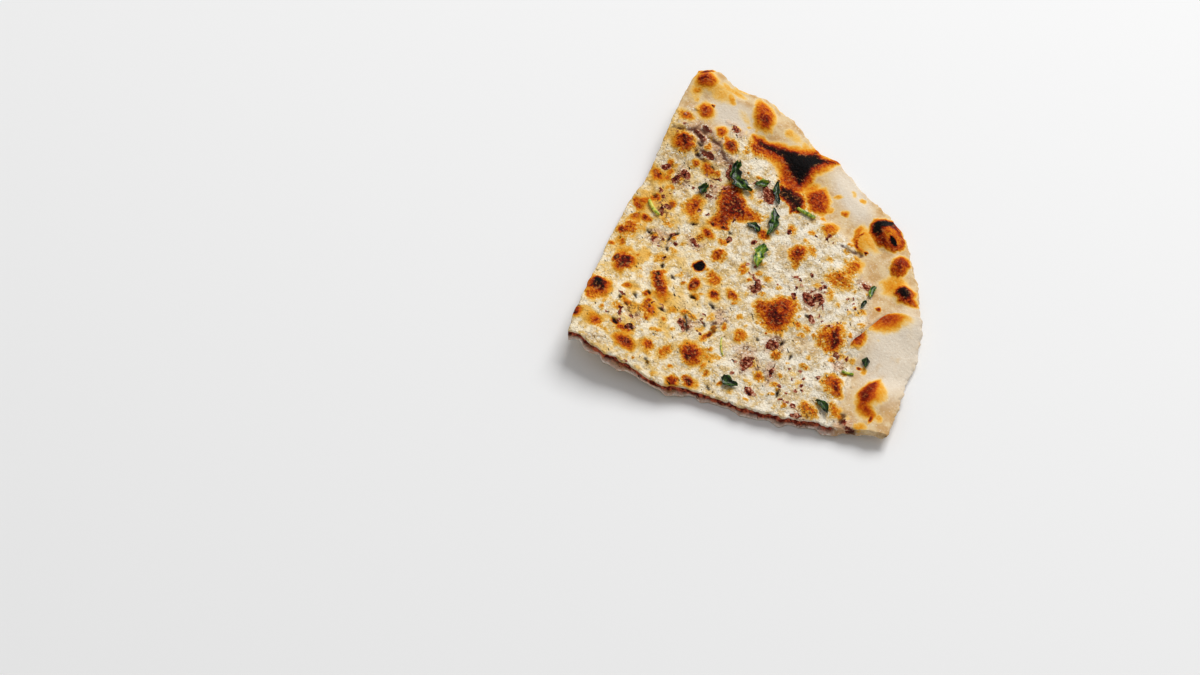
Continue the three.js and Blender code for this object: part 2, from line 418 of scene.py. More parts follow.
def scattered_spots(count, seed, sizes, levels, narrowness, turning, **region):
    """Random ellipses inside the wedge: x, y, length, width, heading and level of each."""
    middles, draws = scattered(count, seed, **region)
    lengths = draws.uniform(*sizes, count)
    strengths = draws.uniform(*levels, count)
    return [
        (x, y, length, length * narrowness, x * turning, level)
        for (x, y), length, level in zip(middles, lengths, strengths)
    ]


def small_spots(plan):
    """How golden the small scattered lumps are, up to one half."""
    spots = scattered_spots(SMALL_SPOTS, 41, (1.6, 5.4), (0.15, 0.5), 0.75, 40, crowding=1.6)
    return strongest(plan, spots, 0.3, 0.9)


def blister_height(plan):
    height = np.zeros(len(plan))
    for *ellipse, rise in BLISTERS:
        share = np.minimum(ring(plan, *ellipse), 1)
        height = np.maximum(height, BLISTER_RELIEF * rise * (1 - share**2) ** 2)
    return height


def top_height(plan):
    """The bread's upper face, in millimetres above what it lies on."""
    filled = filled_share(plan)
    inwards = distance_to_rim(plan)
    dough = RIM_THICKNESS + (MARGIN_THICKNESS - RIM_THICKNESS) * ease(inwards / RIM_TAPER)
    thickening = ease((inwards - THICKENING_STARTS) / THICKENING_WIDTH)
    thickness = dough + (FILLED_THICKNESS - dough) * thickening
    over_filling = SKIN_STEP + small_spots(plan) + layered(plan, SKIN_LUMPS)
    relief = filled * over_filling + (1 - filled) * layered(plan, PLAIN_LUMPS)
    relief = relief - WRINKLE_RELIEF * wrinkle_depth(plan)
    mounds = np.maximum(blister_height(plan), flap_height(plan)[0])
    return underside_height(plan) + thickness + relief + mounds


print("middle of the bread is", top_height(np.array([[0.0, 70.0]])).round(2)[0], "mm high")

# %% [markdown]
# ## Toasted spots
#
# Where a blister touched the griddle it browned: black or red-brown in the middle, then orange, and
# a golden edge that fades into the pale dough. One field, toast, says how deep this went at each
# point: 0.1 is straw, 0.4 golden, 0.5 orange, 0.7 red-brown, 0.9 dark brown and above 1.1 charred.
# Large spots are outlines with a soft edge, because hardly any is round, and smaller ones are
# ellipses. `bent` pushes them all about, so that no edge is smooth.

# %% The large spots, as outlines
PATCHES = [
    # toast, width of the soft edge, outline: first the boot-shaped char and what lies around it
    (0.7, 1.9, [(-57.5, 104.5), (-54.5, 100.5), (-50, 101), (-46.5, 104.5), (-43, 107), (-40, 106.5),
        (-36, 104), (-32, 103.5), (-29, 106), (-27.5, 110), (-29.5, 115), (-32.5, 119), (-33.8, 125),
        (-35, 128.5), (-43.5, 125), (-46, 119), (-51, 112)]),
    (1.28, 2.1, [(-35.5, 129.5), (-35.8, 123), (-34.8, 118.5), (-32.5, 115), (-30.4, 112), (-31, 110),
        (-40.5, 109.6), (-46, 109), (-50, 106), (-54, 103.5), (-57, 104.5), (-54, 107.5), (-50, 111),
        (-47, 115), (-44, 118), (-43, 121), (-43, 124.3), (-39, 125.5)]),
    (0.84, 1.2, [(-50, 106.5), (-44, 109), (-38, 107), (-33, 106), (-30, 109), (-40, 110)]),
    (1.2, 1.2, [(-33, 103), (-30, 107.5), (-25.7, 108.5), (-23, 108.3), (-20, 106.5), (-18.5, 104.5),
        (-19.5, 101.5), (-22.5, 103), (-26, 101.5), (-30, 101)]),
    (0.8, 1.8, [(-25.5, 119.2), (-20, 118), (-15.5, 114.5), (-14.8, 111), (-17.8, 108.3), (-22, 109.5),
        (-26, 110.5), (-26.5, 114)]),
    (0.5, 1.8, [(-31, 113), (-26, 110), (-25, 117), (-28, 118)]),
    (0.66, 1.8, [(-71.5, 113.5), (-70, 110.5), (-66, 108), (-61, 106.5), (-57.5, 108.5), (-57, 111),
        (-60, 114), (-64, 116), (-69, 115)]),
    (0.72, 1.4, [(-40.5, 87.8), (-37, 88.3), (-33, 87.3), (-28, 88), (-23, 90), (-20, 89.5), (-20.3, 87.3),
        (-23, 84.5), (-24.5, 80.3), (-25.3, 77.7), (-22.5, 76), (-24, 73.7), (-28, 71), (-30, 75),
        (-34, 78), (-38, 81.4), (-40.5, 84.3)]),
    (0.88, 1.5, [(-37, 85.5), (-33, 87), (-25.5, 86.5), (-24.5, 83), (-26.5, 79), (-28, 76.5), (-31, 79.5),
        (-35, 82)]),
    (0.52, 2.0, [(8.5, 115), (12, 116), (15, 114), (16, 111), (17, 108.5), (21.5, 106.5), (20, 103),
        (17, 100), (13, 99.5), (12, 104), (12.5, 108), (9, 110.5)]),
    (0.66, 1.8, [(16, 85.5), (20.7, 84.5), (24, 81.5), (27, 78), (29.5, 73.2), (27, 70.5), (22.5, 69),
        (17.7, 69), (13.5, 70), (11.8, 72.4), (14, 75.5), (14, 80)]),
    (0.94, 1.0, [(15.5, 82), (19.4, 82.3), (24.7, 77.7), (27, 74), (24.3, 70.5), (19.4, 70.8), (16, 75)]),
    (0.6, 2.2, [(34.5, 97), (38.4, 95), (43.2, 92), (45.5, 88.6), (43.3, 84.8), (38.8, 83.5), (35, 85),
        (33.2, 88.6), (33.8, 93)]),
    (1.15, 1.4, [(35.5, 93.5), (38.5, 92.5), (44, 90), (43, 87), (38.5, 88.5), (36, 91)]),
    # the smooth spot on the flap
    (0.42, 1.9, [(61, 98), (60.8, 94), (63, 88.5), (66.5, 85), (71, 83.2), (75.5, 84.2), (77.5, 86.5),
        (75.5, 88.6), (71.8, 89), (72.5, 92), (71.5, 94.5), (68.5, 96.5), (65, 97.5)]),
    (0.78, 1.6, [(61.6, 97.5), (63, 96.5), (66, 94), (70.5, 92), (71.5, 88), (76, 88), (77, 86.3),
        (74.5, 84.8), (70.5, 84.2), (66.5, 86), (63.3, 90), (61.6, 94)]),
    (0.74, 1.7, [(52.8, 83), (56.7, 83.9), (59.4, 83), (63, 81.7), (63.3, 80.2), (61.5, 77.6), (58.5, 78.4),
        (56, 77.7), (54, 78), (52.8, 81)]),
    (0.6, 1.4, [(65.3, 78), (67.8, 79.3), (70, 76.3), (69.3, 73.4), (67, 74), (64, 76.6)]),
    (0.58, 1.4, [(59, 67.2), (61.5, 68.7), (65.4, 70.3), (67.5, 69.4), (67.5, 66.7), (64.5, 64),
        (61, 64.3)]),
    (0.48, 1.6, [(-41, 72.5), (-38.5, 73), (-37, 71), (-33, 68.3), (-31.5, 66.5), (-35, 65.5), (-39.5, 66),
        (-41, 69)]),
    # the blister at the rim: golden collar, its dark edge, brown ring and black crescent
    (0.36, 2.0, [(-4.5, 125), (-4, 121), (-1, 118.2), (4, 116.9), (8, 118), (7, 121), (10, 124.5),
        (2, 126)]),
    (0.66, 0.9, [(-4.2, 124), (-3.2, 120.8), (0, 118.2), (4, 116.8), (7.5, 117.3), (7.5, 118.8), (4, 118.6),
        (1, 120), (-1.2, 122), (-2.6, 124)]),
    (0.96, 0.9, [(-3.6, 133.5), (-4.2, 129.5), (-2.6, 126.7), (1, 125.2), (6, 125.5), (10, 127.2),
        (12, 129.7), (12, 133), (8, 136.5), (1, 137)]),
    (1.5, 0.8, [(-2.8, 133), (-3.4, 129.5), (-2, 127), (1, 125.8), (4.5, 126.4), (4.2, 128), (1.6, 129.8),
        (3, 131.5), (3, 134), (0, 136.5)]),
    (0.84, 1.3, [(14.8, 131), (17, 133.3), (20, 132.3), (22.3, 129), (23, 125.5), (20.5, 124), (17, 125.3),
        (15, 128)]),
    (0.9, 1.7, [(27, 124.5), (29, 126), (31.5, 127.7), (34, 126), (37.5, 126.3), (36, 123.3), (33.5, 120.5),
        (30, 121), (27.5, 122.5)]),
    (0.4, 2.4, [(20, 125), (24, 128), (30, 127), (31, 121), (27, 116.5), (22, 119)]),
]
CREST_TOAST = [
    # x, y, length, width, heading, toast: on the flap's crest, where its left side ends them sharply
    (38, 112.4, 19, 17, 96, 0.72), (41, 117.5, 13, 14, 60, 0.32), (40.4, 107.5, 7, 7, 80, 0.56),
    (42.8, 97.8, 11, 8, -62, 0.76), (42, 98.6, 7, 2.6, -70, 0.92), (38, 113, 9, 3.4, 97, 0.8),
]
print("large spots:", len(PATCHES))

# %% The smaller spots, as ellipses
SPOTS = [
    # x, y, length, width, heading, toast: the left corner
    (-86, 96.8, 11, 10, 0, 0.76), (-86.3, 96, 5, 3, 80, 0.95), (-90, 98.8, 7, 2.4, 82, 1.05),
    (-73.4, 90.8, 9.5, 8, -30, 0.74), (-74.8, 83.3, 9.5, 4.8, 20, 0.56), (-63.8, 77.3, 10, 9, 0, 0.8),
    (-63.8, 77, 4, 3.4, 0, 0.92), (-63.1, 92.7, 6.5, 6, 0, 0.7), (-55.8, 93.2, 7, 6.4, 0, 0.9),
    (-61.5, 110.3, 9, 6.5, -20, 0.9), (-66.5, 112.8, 6, 4, 0, 0.66), (-83.5, 91.5, 5, 4, -30, 0.5),
    (-74.8, 102.5, 7, 4, 0, 0.4), (-54.3, 117.9, 7, 6, 0, 0.34), (-80, 103, 8, 5, 20, 0.32),
    (-74.8, 95, 1.6, 1.4, 0, 1.3), (-90, 93, 6, 3, 70, 0.4), (-59.3, 93.5, 4, 3, 0, 0.55),
    (-79, 99, 17, 9, 25, 0.3), (-84, 92, 12, 8, -40, 0.32), (-66, 104, 12, 6, 10, 0.22),
    (-52, 119, 12, 7, 20, 0.26), (-77, 106, 12, 4, 40, 0.34),
    # between the boot and the rim blister
    (-28, 115.5, 4, 5, 60, 0.44), (-11.5, 121, 5, 4.2, 0, 0.56), (-20.5, 122, 5, 3, 70, 0.42),
    (-18.5, 128, 6, 3, 0, 0.3), (-14, 129.8, 4, 2.5, 0, 0.42), (-46, 121, 5, 8, 70, 0.34),
    (8.6, 130.8, 3.6, 3.2, 0, 1.4), (0, 121.2, 4.6, 1.3, -75, 0.9), (3.2, 118.6, 8, 1.4, -27, 0.9),
    (8, 119.3, 1.6, 1.6, 0, 1.3), (31.3, 123.4, 9, 7, -20, 1.2), (25.5, 121.5, 5, 4, 0, 0.42),
    # the flap and the right corner
    (38.4, 118.6, 1.6, 1.4, 0, 1.2), (62.9, 94, 7, 2, -68, 0.88),
    (65.6, 90.8, 17, 7, -60, 0.88), (67.6, 88.6, 11, 7, -52, 0.92),
    (76.8, 85.8, 3.4, 2, -45, 0.98), (58.5, 80.8, 8, 3.4, -20, 0.95), (78, 88.5, 4, 4, 0, 0.36),
    (70.5, 76, 3, 2.4, 0, 0.6), (77.5, 81, 6, 5, 60, 0.42), (53.5, 93.3, 1.8, 1.4, 0, 1.2),
    (55.5, 94, 5, 3, -40, 0.42),
    # between the middle and the right cut
    (28, 80.5, 6.5, 5, 0, 0.46), (24, 59, 8.5, 6.5, -15, 0.52), (42.5, 57.5, 7, 5, 0, 0.5),
    (48, 61, 5, 3.2, 60, 0.46), (37, 67.5, 5, 5, 0, 0.54), (24.3, 38.8, 10, 10.5, -30, 0.72),
    (25, 36.5, 6, 4, -40, 0.84), (18.7, 48, 10, 3, -75, 0.62), (34, 40.5, 4, 4, 0, 0.46),
    (34.2, 32.6, 6, 4.5, 0, 0.88), (32.3, 27.8, 4.5, 4.5, 0, 0.75), (20, 30.5, 10, 5.5, -70, 0.5),
    (15.8, 25, 8, 5, -10, 0.56), (12, 17.2, 9, 5.5, 25, 0.52), (6.2, 19.5, 8, 3.4, 60, 0.58),
    (36, 57.5, 6, 5, 0, 0.4), (28.5, 47, 5, 4, 40, 0.36), (46.5, 69.5, 6, 4, 0, 0.22),
    # the middle
    (-7, 111.5, 9.5, 8, -60, 0.62), (12, 113, 6, 4, -15, 0.7), (15.5, 104.5, 6, 5, 0, 0.66),
    (20.5, 98, 9, 4.5, -30, 0.36), (-0.8, 95, 9.5, 8.5, -40, 0.78), (-1.3, 95, 5, 4.4, -40, 0.95),
    (0.5, 100.5, 8, 5.5, 0, 0.46), (3.2, 92, 5, 5, 0, 0.5), (-14.5, 87.5, 7.5, 5, 10, 0.64),
    (32, 106, 4, 4, 0, 0.46), (32.9, 112.3, 3.2, 2.6, 0, 0.86), (6, 105, 5, 4, 0, 0.32),
    (-12.5, 98.5, 6, 5, 0, 0.5), (-3.7, 73.2, 8, 4, -45, 0.48), (6, 64.5, 9, 5, 8, 0.58),
    (6, 64.6, 4, 2, 10, 0.86), (3, 58.3, 5.5, 5, -30, 0.76), (-4.5, 53.5, 7, 5, -50, 0.84),
    (-4.3, 61.5, 9, 6, -10, 0.58), (-12.5, 67.5, 7.5, 7, -60, 0.62), (-13.6, 68.3, 3, 4, 0, 0.82),
    (-23.5, 68, 7, 4, 5, 0.68), (-23, 65, 4, 4, 0, 0.42), (-11, 58.5, 4.6, 4.2, -20, 1.6),
    (-8.5, 41, 14, 6, -12, 0.8), (-13, 42, 6, 4, 30, 0.95), (1, 31, 9, 7, 0, 0.42),
    (-4, 21.5, 6, 4, -20, 0.42), (1, 11.5, 9, 4.5, 15, 0.46), (-6.5, 6.5, 5, 3, -45, 0.7),
    (2.5, 18, 3, 2, 20, 1.2), (-17, 73.7, 2, 1.6, 0, 1.4), (26.5, 68.3, 1.4, 1.2, 0, 1.2),
    # between the middle and the left cut
    (-23.3, 75, 5, 2.2, 50, 1.0), (-26.8, 71.8, 4, 1.6, 20, 1.05), (-49.7, 81.3, 8, 5, 10, 0.6),
    (-56.5, 62.3, 7, 4, 0, 0.5), (-34, 56.5, 5, 5, 0, 0.42), (-47.5, 50, 7, 3.4, 0, 0.62),
    (-38, 42, 12, 8.5, -70, 0.6), (-38.6, 39, 6, 4, 0, 0.8), (-23.3, 33.2, 11, 8, -35, 0.84),
    (-26, 31, 5, 2.4, -45, 1.05), (-15.8, 18.8, 11, 9.5, -20, 0.86), (-17.5, 19.5, 6.5, 6, -20, 1.15),
    (-12, 15.5, 8, 6.5, 0, 0.6), (-20, 47, 9, 6, 20, 0.32), (-37.5, 69.5, 3.4, 4, 0, 0.64),
]
ISLANDS = [
    # x, y, length, width, heading, toast that shows through a darker spot
    (6.6, 131.6, 9, 7.4, 30, 0.54), (20, 77.3, 5, 3.6, 0, 0.66),
    (-16, 22, 4, 2.4, 0, 0.6), (20.8, 38, 3, 4, 0, 0.6), (39.6, 86, 4, 1.6, 0, 0.3),
]
print("smaller spots:", len(SPOTS), "and", len(ISLANDS), "islands")

# %% Field of toast
CHARRED = 1.2
SPOT_CORE = 0.2
SPOT_FADE = 1.1
HALO_TOAST = 0.26
HALO_WIDTH = 3
# The dark line along the rim: partly scorching, partly painted shade at its edge.
RIM_DARK_WIDTH = 1.8
RIM_DARK_LEVEL = 0.6


def depth_inside(plan, outline):
    """Distance to an outline in millimetres, positive inside it and negative outside."""
    points = np.array(outline)
    nearest = np.full(len(plan), np.inf)
    inside = np.zeros(len(plan), bool)
    for start, end in zip(points, np.roll(points, -1, axis=0)):
        nearest = np.minimum(nearest, np.hypot(*offset_from(plan, start, end).T))
        spans = (start[1] > plan[:, 1]) != (end[1] > plan[:, 1])
        rise = end[1] - start[1] if end[1] != start[1] else 1.0
        crossing = start[0] + (plan[:, 1] - start[1]) / rise * (end[0] - start[0])
        inside ^= spans & (plan[:, 0] < crossing)
    return np.where(inside, nearest, -nearest)


def warmth(plan):
    """How golden the pale dough is: most near the tip, where the griddle was hottest."""
    return 1 - 0.75 * ease((plan @ np.array([0.5, 0.85]) - 25) / 60)


def rim_scorch_and_shade(plan):
    """A dark line along the thin rim, in places and only left of the middle: partly scorching, partly
    painted shade at the rim's edge.
    """
    at_rim = 1 - ease(distance_to_rim(plan) / RIM_DARK_WIDTH)
    at_left = 1 - ease((plan[:, 0] + 55) / 25)
    return RIM_DARK_LEVEL * ease((wander(plan, 6.0, 33) + 0.1) / 0.8) * at_rim * at_left


def toast_at(plan):
    """How deeply the upper face is toasted at each place."""
    uneven = bent(plan, 0.6, 31)
    toast = strongest(uneven, SPOTS, SPOT_CORE, SPOT_FADE)
    halos = [(*ellipse, min(1, 1.5 * level)) for *ellipse, level in SPOTS]
    halo = strongest(uneven, halos, 0.7, 0.9)
    for level, edge, outline in PATCHES:
        depth = depth_inside(uneven, outline)
        skin = 0.75 * ease((depth + 1.5 * edge) / (2.3 * edge)) + 0.25 * ease(depth / 3)
        toast = np.maximum(toast, level * skin)
        halo = np.maximum(halo, ease((depth + HALO_WIDTH) / HALO_WIDTH))
    softness = 0.8 + 2.2 * ease((plan[:, 1] - 108) / 8)
    on_flap = ease((flap_height(plan)[1] + 0.5) / softness)
    toast = np.maximum(toast, strongest(uneven, CREST_TOAST, SPOT_CORE, SPOT_FADE) * on_flap)
    toast = np.maximum(toast, small_spots(uneven))
    toast = np.maximum(toast, HALO_TOAST * halo * (0.4 + 0.6 * warmth(plan)))
    # The rim's dark line: partly scorch, partly painted shade at the edge.
    toast = np.maximum(toast, rim_scorch_and_shade(plan))
    for *ellipse, level in ISLANDS:
        inside = strongest(uneven, [(*ellipse, 1)], 0.6, 0.5)
        toast = toast + (np.minimum(toast, level) - toast) * inside
    charred = [spot for spot in SPOTS if spot[-1] > CHARRED]
    return np.maximum(toast, strongest(uneven, charred, 0.5, 0.7))


print("toast at the rim blister:", toast_at(np.array([[-0.8, 130.5]])).round(2))

# %% [markdown]
# ## Mince under the skin
#
# The dough is stretched so thin over the filling that bits of mince break through it: red-brown,
# ragged, one to ten millimetres long, and a little raised. The large ones are placed, the small
# ones are scattered in loose clusters.

# %% Field of mince
MINCE = [
    # x, y, length, width, heading
    (-62.7, 97.8, 5, 3, 15), (-55.7, 83.3, 5.6, 3.4, 20), (-51.5, 71.7, 6, 3.6, 10),
    (-51.7, 68, 4, 3, -60), (-57.8, 66.5, 5.2, 3, 80), (-39.3, 75.8, 2.6, 2, 0),
    (-45.5, 88.3, 7, 3.6, -25), (-31, 97, 10, 4.6, -8), (-66.5, 88, 5, 2.2, 20),
    (-64.5, 84, 6, 2.6, 10), (-72, 95, 2, 2, 0), (20.5, 93, 4.6, 3.6, -20), (19.6, 89.5, 6.6, 4.4, 0),
    (27.7, 86.5, 3.6, 2.6, 40), (6.2, 74, 7.6, 4.4, -55), (32.5, 68, 5.8, 4.6, -20),
    (-22, 62, 5.2, 2.6, 5), (-12, 97, 3.6, 2.2, -30), (22.5, 112.4, 4, 3, 0), (-41, 56.8, 7, 1.8, -25),
    (-41.5, 60, 4, 2, 0), (35.6, 55.8, 5.4, 6, 0), (42.5, 63, 5.4, 1.7, -40), (47, 51.6, 6, 3, 20),
    (15.2, 85.3, 4, 2.2, -20), (-17.5, 74.5, 2.8, 2.6, 0), (-13, 82.3, 2, 2, 0),
    (52, 77, 2.6, 2, -50), (11.5, 41.3, 6.5, 2.6, -15), (49.5, 90, 2.6, 1.6, -20),
    (46.5, 87, 4, 2, -10), (6.5, 22, 4.4, 2.6, 60), (73, 77, 5, 2, -35), (77.3, 77.4, 5.5, 2, 30),
    (64, 62.2, 5, 2, 45),
    (-30, 48, 4, 2, 0), (-9, 26, 4, 1.6, 10), (59.5, 63, 2.6, 2, 0),
]
MINCE_CLUSTERS = 22
CLUSTER_SPECKS = 7
WRINKLED = [
    # x, y, length, width, heading: torn and puckered skin, tinted by the juice of the mince
    (-60, 86, 30, 15, 20), (-46, 90, 14, 9, -20), (-31, 97, 12, 7, -10), (-52, 70, 14, 9, 10),
    (-41, 78, 11, 9, 0), (20.5, 91, 11, 9, 0), (6, 74, 9, 6, -55), (34, 57, 16, 11, 0),
    (32, 69, 12, 7, -30), (43, 62, 12, 6, -40), (-22, 62, 9, 6, 0), (22, 112.5, 8, 5, 0),
    (48, 87, 12, 6, -20), (-41, 58, 12, 6, -25), (65, 65, 10, 8, 0), (75.5, 77.5, 14, 8, 15),
    (10, 44, 14, 7, 0), (14, 55, 12, 8, -40), (-30, 50, 12, 8, 20), (0, 26, 12, 8, 0),
    (-63, 98, 8, 5, 10), (-77, 88, 6, 4, 60),
]


def mince_specks():
    """Small ellipses of mince in loose clusters."""
    middles, draws = scattered(MINCE_CLUSTERS, 61, high=0.82)
    specks = []
    for middle in middles:
        places = middle + draws.normal(0, 3.0, (CLUSTER_SPECKS, 2))
        sizes = draws.uniform(0.8, 2.0, CLUSTER_SPECKS)
        specks += [(x, y, size * 1.3, size, x * 70, 0.85) for (x, y), size in zip(places, sizes)]
    return specks


def mince_at(plan):
    """How much mince shows through the skin at each place, from 0 to 1."""
    uneven = bent(plan, 0.7, 51)
    bits = strongest(uneven, [(*bit, 1) for bit in MINCE], 0.75, 0.4)
    return np.maximum(bits, strongest(uneven, mince_specks(), 0.7, 0.5))


def wrinkled_at(plan):
    """How puckered and tinted the skin is at each place, from 0 to 1."""
    return strongest(bent(plan, 1.6, 55), [(*area, 1) for area in WRINKLED], 0.4, 0.8)


print("bits of mince:", len(MINCE) + MINCE_CLUSTERS * CLUSTER_SPECKS)

# %% [markdown]
# ## The bread's mesh
#
# The bread could be sculpted, but a mesh whose rows follow the wedge takes the relief and colours
# best. A flat square grid is extruded into a thin box, and its upright edges are cut into rows.
# Then the box is bent: two of its sides become the cuts, and the other two together become the
# rim. Every vertex keeps three shares, right, left and up, which say where in the bread it is.

# %% A gridded box
BREAD_CELLS = 200
WALL_ROWS = 10


def gridded_box(columns, rows, height):
    """A square grid with a side of 1, extruded into a closed box of that signed height."""
    made = bmesh.new()
    bmesh.ops.create_grid(made, x_segments=columns, y_segments=rows, size=0.5)
    extruded = bmesh.ops.extrude_face_region(made, geom=made.faces[:])["geom"]
    moved = [item for item in extruded if isinstance(item, bmesh.types.BMVert)]
    bmesh.ops.translate(made, verts=moved, vec=(0, 0, height))
    return made


def cut_upright(made, cuts):
    """Cuts the edges that stand upright into pieces."""
    upright = [edge for edge in made.edges if abs(edge.verts[0].co.z - edge.verts[1].co.z) > 0.5]
    bmesh.ops.subdivide_edges(made, edges=upright, cuts=cuts)


def as_mesh(made, name):
    mesh = bpy.data.meshes.new(name)
    made.to_mesh(mesh)
    made.free()
    return mesh


box = gridded_box(BREAD_CELLS, BREAD_CELLS, 1)
cut_upright(box, WALL_ROWS - 1)
bmesh.ops.recalc_face_normals(box, faces=box.faces)
bread_mesh = as_mesh(box, "paratha_bread")
print("bread mesh:", len(bread_mesh.vertices), "vertices")

# %% [markdown]
# ## Bending the box into bread
#
# On the cuts, the knife left two skins with the filling between them: the filling sits back a
# little and is crumbly, and the lower skin was torn, so it stands out in places, most of all on the
# right cut. The rim is round and uneven.

# %% Shape every vertex
HALF_CELL = 0.5 / BREAD_CELLS
RIM_ROUNDNESS = 0.8
RIM_RAGGEDNESS = [(0.45, 2.2, 71), (0.35, 0.9, 72)]
TORN = 1.5
LEFT_TORN = 0.3 * TORN
FILLING_CRUMBS = [(0.45, 0.9, 74), (0.35, 2.6, 75)]
FILLING_SET_BACK = 0.5
LEFT_UNEVENNESS = 0.35
MINCE_RELIEF = 0.3
SUNKEN = 0.5


def read_vertices(mesh):
    values = np.empty(len(mesh.vertices) * 3)
    mesh.vertices.foreach_get("co", values)
    return values.reshape(-1, 3)


right, left, up = (read_vertices(bread_mesh) + np.array([0.5, 0.5, 0])).T
right = np.round(right * BREAD_CELLS) / BREAD_CELLS
left = np.round(left * BREAD_CELLS) / BREAD_CELLS
along = np.maximum(right, left)
across = (right - left) / np.maximum(along, HALF_CELL)
on_rim = along > 1 - HALF_CELL
on_cut = (np.minimum(right, left) < HALF_CELL) & ~on_rim
on_right = across > 0

rim_place = np.stack([across * 100, up * 3], axis=1)
cut_place = np.stack([along * RIM_REACH, up * FILLED_THICKNESS + 20 * np.sign(across)], axis=1)
along_cut = cut_place * [1, 0]
rounded = RIM_ROUNDNESS * np.sin(np.pi * up) + layered(rim_place, RIM_RAGGEDNESS)
inside_plan = place(along, across, np.where(on_rim, rounded, 0.0))

lower_skin = 1 - ease((up - 0.14) / 0.12)
upper_skin = ease((up - 0.72) / 0.12)
between_skins = (1 - lower_skin) * (1 - upper_skin)
tears = np.maximum(0, 0.45 + 0.9 * wander(along_cut, 4.5, 73))
torn = np.where(on_right, TORN, LEFT_TORN) * tears * lower_skin
set_back = (layered(cut_place, FILLING_CRUMBS) - FILLING_SET_BACK) * between_skins
knife = 0.4 * wander(along_cut, 2.4, 76) + 0.45 * upper_skin * wander(along_cut, 1.2, 77)
knife = knife * np.where(on_right, 1, LEFT_UNEVENNESS)
bearing = across * HALF_ANGLE
cut_normal = np.stack([np.cos(bearing), -np.sin(bearing)], axis=1) * np.sign(across)[:, None]
plan = inside_plan + np.where(on_cut, knife + torn + set_back, 0.0)[:, None] * cut_normal

filled_here = filled_share(inside_plan)
toast = toast_at(inside_plan)
wrinkled_here = wrinkled_at(inside_plan)
slits_here = slit_depth(inside_plan)
unburnt = 1 - 0.8 * ease((toast - 0.55) / 0.3)
mince = mince_at(inside_plan) * np.maximum(filled_here, wrinkled_here) * unburnt
low = underside_height(inside_plan)
high = top_height(inside_plan) + MINCE_RELIEF * mince
high = high - SUNKEN * ease((toast - CHARRED) / 0.3) - SUNKEN * slits_here
height = low + (high - low) * up
bread_mesh.vertices.foreach_set("co", to_frame(np.column_stack([plan, height])).ravel())
print("bread stands", height.max().round(1), "mm high")

# %% [markdown]
# ## What the material needs to know
#
# A material can read numbers that are stored on the vertices. The bread stores how toasted, warm
# and grainy its skin is, where mince, wrinkles and slits are, how much painted shade darkens its
# wrinkles and the foot of the flap's crest, whether it is over the filling, and where on a cut the
# filling lies bare. The underside has toasted spots of its own, because both faces were baked.

# %% Store the fields on the mesh
UNDER_SPOTS = 46


def under_toast(plan):
    spots = scattered_spots(UNDER_SPOTS, 82, (5, 15), (0.4, 1.05), 0.7, 30, low=0.05, high=0.97)
    return strongest(bent(plan, 1.2, 81), spots, 0.35, 0.9)


def store(mesh, name, values):
    mesh.attributes.new(name, "FLOAT", "POINT").data.foreach_set("value", values.astype(np.float32))


def smooth_object(name, mesh):
    mesh.polygons.foreach_set("use_smooth", np.ones(len(mesh.polygons), bool))
    mesh.update()
    return bpy.data.objects.new(name, mesh)


is_under = up < 0.01
cut_skin = np.where(on_cut, np.maximum(lower_skin, upper_skin * (up < 0.95)), 0)
# Painted shade: darker in the wrinkles and in a thin line at the foot of the flap's crest.
shade_in_folds = np.maximum(wrinkle_depth(inside_plan), 0.5 * crest_shadow(inside_plan))
on_flap = ease((flap_height(inside_plan)[1] + 0.5) / 0.8)
coarse = np.maximum(np.maximum(filled_here, wrinkled_here), 0.65 * ease((toast - 0.3) / 0.4))
fields = {
    # name: on the underside, everywhere else
    "toast": (under_toast(plan), toast * (1 - 0.75 * cut_skin)),
    "mince": (0.3 * mince, mince * (1 - cut_skin)),
    "filled": (0.35, filled_here),
    "bare": (0, np.where(on_cut, between_skins, 0) * ease((filled_here - 0.2) / 0.5)),
    "torn": (0, np.where(on_cut, lower_skin, 0) * filled_here),
    "floured": (0.3, floured_share(inside_plan)),
    "wrinkled": (0, wrinkled_here),
    "fold_shade": (0, shade_in_folds),
    "slit": (0, slits_here),
    "warm": (warmth(inside_plan), warmth(inside_plan)),
    "grainy": (0.4, 0.3 + 0.7 * coarse * (1 - 0.7 * on_flap)),
}
for name, (below, elsewhere) in fields.items():
    store(bread_mesh, name, np.where(is_under, below, elsewhere))
bread = smooth_object("bread_wedge", bread_mesh)
bpy.context.scene.collection.objects.link(bread)
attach(bread, "root")
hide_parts(BREAD)
print("fields:", list(fields))

# %% [markdown]
# ## Building materials
#
# Colours are written as sRGB hex values and turned to the linear ones that shaders use. One small
# function adds a shader node with its settings and links. Patterns read Object coordinates, which
# are metres here, so a pattern's scale comes from a real size in millimetres.

# %% Colour and node helpers
def linear(hex_colour):
    """An sRGB hex value as linear red, green, blue and alpha."""
    channels = [int(hex_colour[i:i + 2], 16) / 255 for i in (1, 3, 5)]
    return [c / 12.92 if c <= 0.04045 else ((c + 0.055) / 1.055) ** 2.4 for c in channels] + [1]


def scale_of(millimetres):
    """The scale that gives a pattern on Object coordinates features of that size."""
    return 1000 / millimetres


